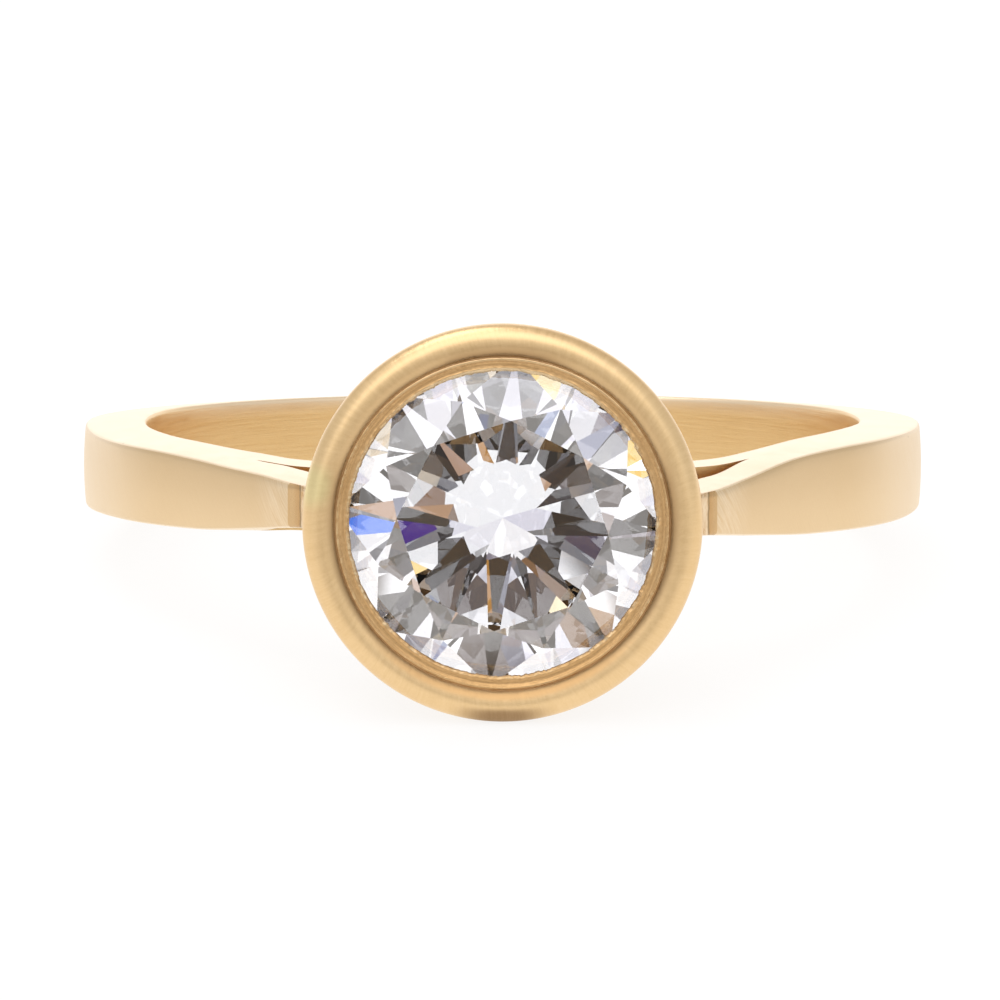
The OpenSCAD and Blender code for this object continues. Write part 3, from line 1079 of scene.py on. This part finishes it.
@dataclass
class Studio:
    """Pale floor, soft light and pale surroundings.

    The gold and the stone each have their own cards, as a photographer sets them for each.
    """

    floor_size: float = 6.0
    plain: Tone = (1.3, 1.3, 1.3)
    gold_base: Tone = (0.95, 0.95, 0.95)
    stone_base: Tone = (1.27, 1.26, 1.31)
    gold_cards: tuple[Card, ...] = (
        Card(-90, 5, 34, 16, (0.80, 0.79, 0.77)),
        Card(90, 5, 34, 16, (0.80, 0.79, 0.77)),
        Card(180, 48, 46, 14, (0.72, 0.67, 0.60)),
        Card(-7, 50, 33, 15, (1.88, 1.84, 1.81)),
        Card(180, 0, 30, 12, (1.45, 1.45, 1.5)),
        Card(0, 4, 28, 18, (0.80, 0.77, 0.72)),
        Card(0, 3, 3, 0.8, (0.04, 0.036, 0.034)),
    )
    stone_cards: tuple[Card, ...] = (
        Card(-48, 14, 18, 6, (1.02, 1.0, 1.13)),
        Card(46, 14, 16, 6, (1.06, 1.05, 1.17)),
        Card(0, 24, 29, 6, (0.28, 0.28, 0.31)),
        Card(-2, 4, 26, 5, (0.14, 0.13, 0.135)),
        Card(-3, 6, 18, 2.0, (0.05, 0.042, 0.035)),
        Card(-25, 15, 11, 2.0, (0.06, 0.052, 0.05)),
        Card(21, 15, 12, 2.0, (0.06, 0.052, 0.05)),
        Card(3, 36, 10, 2.0, (0.06, 0.05, 0.045)),
        Card(135, 68, 12, 4, (0.20, 0.20, 0.21)),
        Card(-12, 17, 3.6, 0.8, (1.2, 1.19, 1.27)),
        Card(0, 23, 4.5, 1.0, (0.86, 0.85, 0.95)),
        Card(-11, 25, 5, 1.5, (1.1, 1.1, 1.15)),
        Card(12, 28, 5, 1.5, (1.0, 1.0, 1.05)),
        Card(24, 0, 4, 1.0, (0.62, 0.40, 0.28)),
        Card(18, 1, 2.2, 0.6, (0.62, 0.31, 0.08)),
        Card(-20, 0, 4, 1.0, (0.30, 0.30, 0.36)),
        Card(13, 32.5, 2.2, 0.5, (0.30, 0.26, 0.30)),
        Card(36, 39, 2.5, 0.5, (0.50, 0.50, 0.50)),
        Card(-31, 37, 2.5, 0.5, (0.14, 0.11, 0.09)),
        Card(36.5, 51, 3, 0.5, (0.25, 0.24, 0.24)),
        Card(33, 30.5, 3, 0.8, (0.12, 0.10, 0.09)),
        Card(-18, 25.5, 2.2, 0.5, (0.09, 0.08, 0.07)),
        Card(-13.6, 23, 1.2, 0.3, (0.09, 0.08, 0.075)),
        Card(-17, 20.8, 2.3, 0.5, (0.60, 0.40, 0.30)),
        Card(-13, 3, 3.5, 0.8, (0.66, 0.42, 0.27)),
        Card(-33, 4, 4, 1.0, (0.42, 0.48, 0.70)),
        Card(31.5, 23, 2.5, 0.6, (0.36, 0.40, 0.60)),
        Card(14, 15, 3, 1.0, (0.46, 0.47, 0.60)),
        Card(19, 11, 2, 0.5, (0.30, 0.17, 0.09)),
        Card(-31, 10, 2.2, 0.4, (0.95, 0.93, 1.0)),
        Card(-27.2, 10, 1.7, 0.3, (0.10, 0.045, 0.34)),
        Card(-13.8, 20.8, 0.9, 0.2, (0.10, 0.28, 1.1)),
        Card(-36, 16, 2.6, 0.5, (0.08, 0.25, 1.05)),
        Card(-8, 47, 4, 1.0, (0.98, 0.86, 0.70)),
        Card(-31, 44, 3, 0.6, (1.4, 1.2, 0.8)),
        Card(17, 46, 3, 1.0, (1.3, 0.9, 0.3)),
        Card(26, 6, 2.2, 0.6, (0.13, 0.105, 0.15)),
        Card(-39.5, 3.5, 2.6, 0.5, (0.11, 0.09, 0.085)),
        Card(-12, 30, 2.2, 0.5, (0.20, 0.19, 0.21)),
        Card(-42, 24, 2.5, 0.5, (0.32, 0.31, 0.31)),
        Card(3, 6, 1.5, 0.4, (0.30, 0.17, 0.10)),
    )
    floor_grey: Tone = (0.13, 0.133, 0.14)
    floor_glow: Tone = (0.85, 0.84, 0.83)
    floor_level: Tone = (1.14, 1.1, 1.04)
    floor_back: Tone = (1.3, 1.3, 1.32)
    back_y: Span = (0.012, 0.035)
    # painted shadow of the camera on the floor, as the gold mirrors it
    floor_shaded: Tone = (0.60, 0.55, 0.49)
    shaded_place: Tone = (0.0, -0.075, 0.0)
    shaded_r: Span = (0.03, 0.06)
    # painted shadow on the floor beneath the cup, as the gold mirrors it
    floor_foot_shadow: Tone = (0.44, 0.37, 0.33)
    foot_place: Tone = (0.0, -0.0116, 0.0)
    foot_r: Span = (0.0003, 0.0014)
    floor_through: Tone = (1.3, 1.3, 1.34)
    # painted shade on the floor far in front, seen by the stone alone
    floor_ahead_shade: Tone = (0.20, 0.165, 0.155)
    ahead_way: Tone = (0.5, -1.0, 0.0)
    ahead_start: Span = (0.0275, 0.030)
    ahead_side: Span = (-0.006, -0.002)
    ahead_spread: float = 0.38
    light_place: Tone = (-0.16, 0.12, 0.55)
    light_size: float = 0.3
    light_power: float = 0.6

    def build(self) -> None:
        """Makes the floor, the world and the light."""
        self.lay_floor()
        self.paint_surroundings()
        self.hang_light()

    def lay_floor(self) -> None:
        """Lays a plain pale floor that glows a little.

        The gold mirrors it with painted shadows under the camera and beneath the cup, and the
        stone sees painted shade on it far in front.
        """
        Bench.clear()
        bpy.ops.mesh.primitive_plane_add(size=self.floor_size, location=(0, 0, 0))
        floor = bpy.context.object
        floor.name = "floor"
        material, graph, shader = new_material("floor_paper")
        paper = {
            "Base Color": (*self.floor_grey, 1),
            "Roughness": 0.85,
            "Specular IOR Level": 0.1,
            "Emission Color": (*self.floor_glow, 1),
            "Emission Strength": 1.0,
        }
        graph.fill(shader, paper)
        place = graph.add("ShaderNodeTexCoord").outputs["Object"]
        back = graph.fade(graph.parts(place)["Y"], *self.back_y)
        tone = graph.blend(back, self.floor_level, self.floor_back)
        # painted shadows in the glow that the gold mirrors
        for spot, reach, shade in (
            (self.shaded_place, self.shaded_r, self.floor_shaded),
            (self.foot_place, self.foot_r, self.floor_foot_shadow),
        ):
            away = graph.fade(graph.vector("DISTANCE", place, spot), *reach)
            tone = graph.blend(away, shade, tone)
        path = graph.add("ShaderNodeLightPath").outputs
        through = path["Is Transmission Ray"]
        clear = graph.blend(self.shade_ahead(graph, place), self.floor_through, self.floor_ahead_shade)
        glow = graph.add("ShaderNodeEmission", {"Color": graph.blend(through, tone, clear)})
        seen = graph.maths("MAXIMUM", path["Is Glossy Ray"], through)
        both = {0: seen, 1: shader.outputs[0], 2: glow.outputs[0]}
        surface = graph.add("ShaderNodeMixShader", both).outputs[0]
        graph.fill(graph.tree.nodes["Material Output"], {"Surface": surface})
        floor.data.materials.append(material)

    def shade_ahead(self, graph: Graph, place: Socket) -> Socket:
        """Mask of painted shade that lies on the floor far in front of the ring, for the stone
        alone.
        """
        flat = graph.parts(place)
        ahead = graph.vector("DOT_PRODUCT", place, self.ahead_way)
        spread = graph.plus(graph.size(flat["X"]), graph.times(flat["Y"], self.ahead_spread))
        inside = graph.before(spread, *self.ahead_side)
        return graph.times(graph.fade(ahead, *self.ahead_start), inside)

    def paint_surroundings(self) -> None:
        """Paints the world: plain all round, with cards for the gold and cards for the stone."""
        world = bpy.data.worlds.new("surroundings")
        bpy.context.scene.world = world
        world.use_nodes = True
        graph = Graph(world.node_tree)
        way = graph.add("ShaderNodeTexCoord").outputs["Generated"]
        path = graph.add("ShaderNodeLightPath").outputs
        gold = self.add_cards(graph, way, self.gold_base, self.gold_cards)
        stone = self.add_cards(graph, way, self.stone_base, self.stone_cards)
        colour = graph.blend(path["Is Glossy Ray"], self.plain, gold)
        colour = graph.blend(path["Is Transmission Ray"], colour, stone)
        graph.fill(world.node_tree.nodes["Background"], {"Color": colour})

    @staticmethod
    def add_cards(graph: Graph, way: Socket, base: Tone, cards: tuple[Card, ...]) -> Socket:
        """Lays cards over a plain tone, each over the ones before it."""
        for card in cards:
            near = graph.vector("DOT_PRODUCT", way, card.way())
            outer = math.cos(math.radians(card.radius + card.soft))
            inner = math.cos(math.radians(max(0.0, card.radius - card.soft)))
            base = graph.blend(graph.fade(near, outer, inner), base, card.colour)
        return base

    def hang_light(self) -> None:
        """Hangs a square soft light above, which faces the ring."""
        data = bpy.data.lights.new("light_above", "AREA")
        data.size = self.light_size
        data.energy = self.light_power
        light = bpy.data.objects.new("light_above", data)
        bpy.context.scene.collection.objects.link(light)
        light.location = self.light_place
        light.rotation_euler = (-Vector(self.light_place)).to_track_quat("-Z", "Y").to_euler()
        light.visible_camera = False


@dataclass
class Viewpoint:
    """Camera at the photo's angle to the ring."""

    resting: Resting
    rim_depth: float = 12.75
    elevation: float = 15.72
    distance: float = 0.2
    lens: float = 330.0
    sensor: float = 36.0
    rim_pixel: Span = (502.5, 522.8)

    def build(self) -> Piece:
        """Sets up the camera so that the middle of the rim falls on its pixel."""
        rim = self.resting.matrix() @ Vector((0, -self.rim_depth, 0))
        angle = math.radians(self.elevation)
        away = Vector((0, -math.cos(angle), math.sin(angle)))
        up = Vector((0, math.sin(angle), math.cos(angle)))
        pixel = self.distance * self.sensor / self.lens / PHOTO_PIXELS
        right_by, down_by = (value - PHOTO_PIXELS / 2 for value in self.rim_pixel)
        aim = rim + pixel * (down_by * up - right_by * Vector((1, 0, 0)))
        data = bpy.data.cameras.new("camera")
        data.lens = self.lens
        data.sensor_width = self.sensor
        data.clip_start = 0.01
        camera = bpy.data.objects.new("camera", data)
        bpy.context.scene.collection.objects.link(camera)
        camera.location = rim + away * self.distance
        camera.rotation_euler = (aim - camera.location).to_track_quat("-Z", "Y").to_euler()
        bpy.context.scene.camera = camera
        return camera


def set_up_picture() -> None:
    """Sets how light is traced through the stone and how tones are shown."""
    scene = bpy.context.scene
    scene.view_settings.view_transform = "Standard"
    scene.cycles.max_bounces = 24
    scene.cycles.transmission_bounces = 24
    scene.cycles.glossy_bounces = 12
    scene.cycles.sample_clamp_indirect = 6.0


def main() -> None:
    """Builds the ring's looks, the studio and the camera."""
    resting = Resting(frame["record"]["mounts"][0])
    gold = SolderedGold(Band(), BezelCup(), resting).build()
    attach(gold, "root")
    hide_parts("ring_mount")
    log.info("gold: %d faces", len(gold.data.polygons))
    Stone().dress(frame["nodes"]["diamond"])
    log.info("stone dressed")
    Studio().build()
    Viewpoint(resting).build()
    set_up_picture()


if __name__ == "__main__":
    main()
